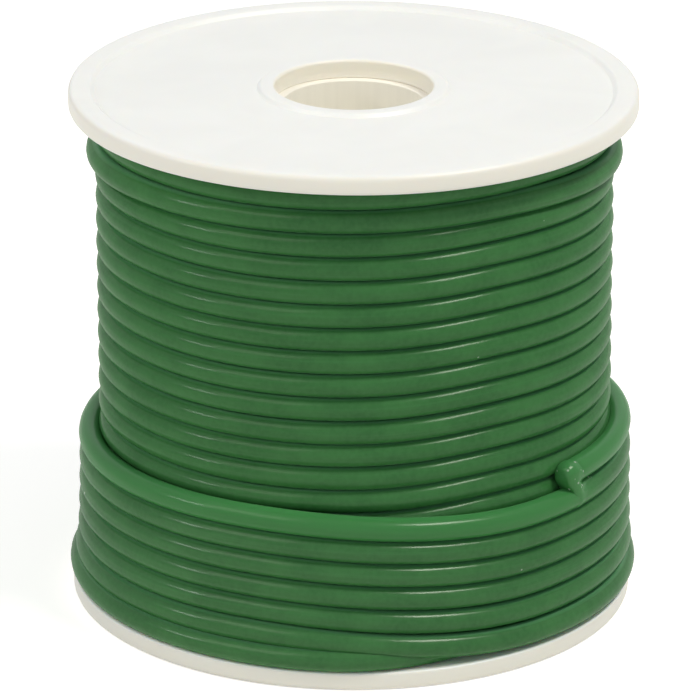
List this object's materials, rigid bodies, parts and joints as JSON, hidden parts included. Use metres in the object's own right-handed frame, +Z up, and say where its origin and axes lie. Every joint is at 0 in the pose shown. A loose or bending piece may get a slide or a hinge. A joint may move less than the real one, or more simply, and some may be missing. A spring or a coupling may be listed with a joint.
{
  "type": "wire spool",
  "caption": "Flanged plastic spool wound with thick green casting wire, with an open barrel bore for a spindle and flat rims to stand on.",
  "frame": {"origin": "on the spool's axis in the plane of the bottom flange's rim, which it stands on", "axes": "+Z up along the barrel's bore, +X to the right as seen from the front, -Y towards the viewer, where the winding crosses over and its cut end shows at the right"},
  "size_m": [0.0826, 0.0826, 0.0776],
  "materials": {
    "flange_plastic": "white moulded plastic with a soft sheen",
    "barrel_plastic": "off-white extruded plastic, matt",
    "wire_wax": "green wax wire with a satin sheen"
  },
  "bodies": {
    "root": {"bottom_flange": "flange_plastic", "top_flange": "flange_plastic", "barrel_tube": "barrel_plastic", "wire_inner_layers": "wire_wax", "wire_first_layer": "wire_wax", "wire_second_layer": "wire_wax", "tack_bead": "wire_wax"}
  },
  "joints": []
}
